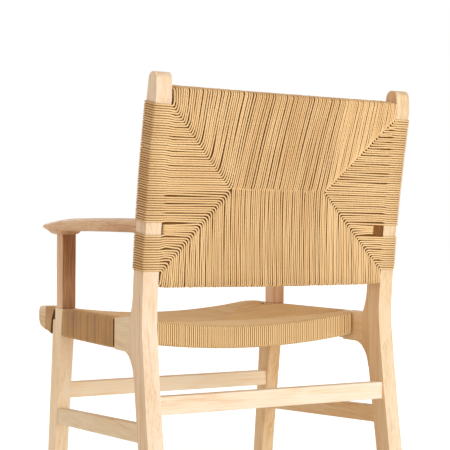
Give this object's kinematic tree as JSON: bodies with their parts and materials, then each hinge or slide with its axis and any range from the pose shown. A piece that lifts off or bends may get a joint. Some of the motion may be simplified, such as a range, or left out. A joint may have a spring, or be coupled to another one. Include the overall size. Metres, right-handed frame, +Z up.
{
  "type": "armchair",
  "caption": "Wooden armchair with a paper cord seat and back woven in the envelope pattern, flat arms on short posts, raked rear legs and side, front and rear stretchers.",
  "frame": {"origin": "on the floor, at the centre of the whole chair's footprint box", "axes": "+Z up, the chair faces -Y, the sitter's left is +X"},
  "size_m": [0.5752, 0.6286, 0.877],
  "materials": {
    "hardwood": "matt lacquered pale hardwood",
    "arm_hardwood": "matt lacquered hardwood, a little darker",
    "dowel_wood": "plain turned dowel",
    "paper_cord": "twisted natural kraft paper, matt",
    "packing": "folded card packing",
    "steel": "zinc plated",
    "glide": "moulded nylon"
  },
  "bodies": {
    "root": {"rear_leg_left": "hardwood", "rear_leg_right": "hardwood", "front_leg_left": "hardwood", "front_leg_right": "hardwood", "arm_post_left": "arm_hardwood", "arm_post_right": "arm_hardwood", "arm_left": "arm_hardwood", "arm_right": "arm_hardwood", "side_rail_left": "hardwood", "side_rail_right": "hardwood", "seat_front_rail": "hardwood", "seat_rear_rail": "hardwood", "back_top_rail": "hardwood", "back_bottom_rail": "hardwood", "rear_stretcher": "hardwood", "front_stretcher": "hardwood", "side_stretcher_left": "hardwood", "side_stretcher_right": "hardwood", "seat_cord": "paper_cord", "back_cord": "paper_cord", "seat_packing": "packing", "back_packing": "packing", "seat_cord_tacks": "steel", "back_cord_tacks": "steel", "arm_dowels_left": "dowel_wood", "arm_dowels_right": "dowel_wood", "lap_screws_left": "steel", "lap_screws_right": "steel", "glide_front_left": "glide", "glide_front_right": "glide", "glide_rear_left": "glide", "glide_rear_right": "glide"}
  },
  "joints": []
}
